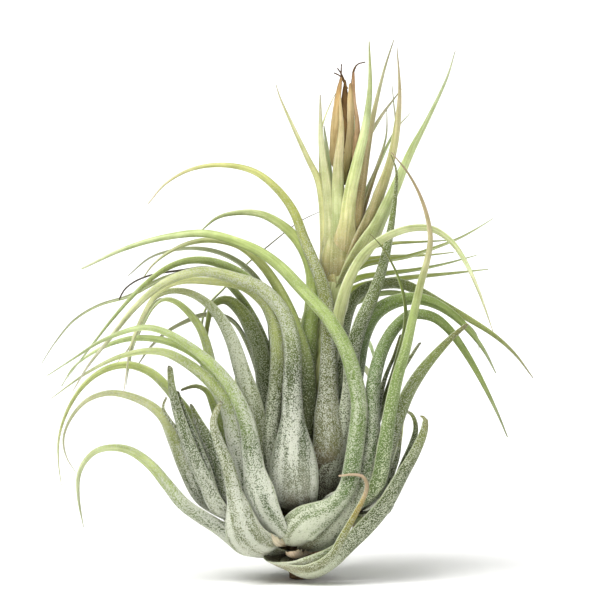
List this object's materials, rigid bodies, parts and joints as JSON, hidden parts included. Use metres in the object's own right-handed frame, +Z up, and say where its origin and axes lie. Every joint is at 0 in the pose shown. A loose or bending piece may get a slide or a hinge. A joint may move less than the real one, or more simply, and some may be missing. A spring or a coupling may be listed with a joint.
{
  "type": "air plant",
  "caption": "Bare rosette of silvery channelled leaves that arch and sweep to one side, round a short stem with a leafy flower spike and a dried flower; it rests on the stem's flat scar.",
  "frame": {"origin": "centre of the flat scar under the stem, where the plant rests", "axes": "+Z up, -Y the front that the picture shows, -X the side that most leaf tips sweep to"},
  "size_m": [0.1651, 0.0964, 0.1791],
  "materials": {
    "silver_leaf": "grey-green leaf under a coat of fine silvery scales, dull",
    "green_leaf": "mid green leaf with scattered silvery scales, dull",
    "lime_leaf": "fresh yellow-green leaf, nearly bare of scales, soft sheen",
    "olive_leaf": "dark olive inner leaf, dull",
    "bract": "pale yellow-green bract, smooth, soft sheen",
    "dry": "dead papery tissue, tan to dark brown",
    "stem": "woody brown stem, rough"
  },
  "bodies": {
    "root": {"stem": "stem", "dry_scale_1": "dry", "dry_scale_2": "dry", "dry_flower": "dry", "flower_spike": "bract", "leaf_front_lowest": "green_leaf", "leaf_back_i": "silver_leaf", "leaf_back_j": "silver_leaf", "leaf_front_old": "green_leaf", "leaf_left_lowest": "silver_leaf", "leaf_front_short": "silver_leaf", "leaf_back_g": "silver_leaf", "leaf_back_a": "silver_leaf", "leaf_back_h": "silver_leaf", "leaf_left_j": "silver_leaf", "leaf_right_long": "green_leaf", "shoot_left": "silver_leaf", "leaf_front_arch": "green_leaf", "leaf_right_tall": "lime_leaf", "leaf_left_b": "silver_leaf", "leaf_back_b": "silver_leaf", "leaf_back_c": "silver_leaf", "shoot_right": "silver_leaf", "leaf_left_i": "green_leaf", "leaf_left_thread": "green_leaf", "leaf_left_a": "silver_leaf", "leaf_right_h5": "green_leaf", "leaf_back_f": "green_leaf", "leaf_front_hood": "silver_leaf", "leaf_left_g": "green_leaf", "leaf_back_e": "green_leaf", "leaf_back_d": "green_leaf", "leaf_left_e": "green_leaf", "leaf_front_centre": "silver_leaf", "leaf_right_r": "olive_leaf", "leaf_right_h3": "green_leaf", "leaf_left_short": "olive_leaf", "leaf_left_m": "green_leaf", "leaf_right_c": "olive_leaf", "leaf_right_h4": "green_leaf", "leaf_right_d": "green_leaf", "leaf_left_side": "green_leaf", "leaf_front_narrow": "green_leaf", "leaf_right_b": "green_leaf", "leaf_right_low": "olive_leaf", "leaf_right_h2": "lime_leaf", "leaf_left_dark": "olive_leaf", "leaf_left_lime": "lime_leaf", "leaf_front_tall": "silver_leaf", "leaf_left_thin": "green_leaf", "leaf_right_h": "lime_leaf", "leaf_left_dry_tip": "olive_leaf", "leaf_right_arch": "bract", "leaf_left_grey": "green_leaf", "leaf_front_inner": "lime_leaf", "leaf_left_top": "lime_leaf"}
  },
  "joints": []
}
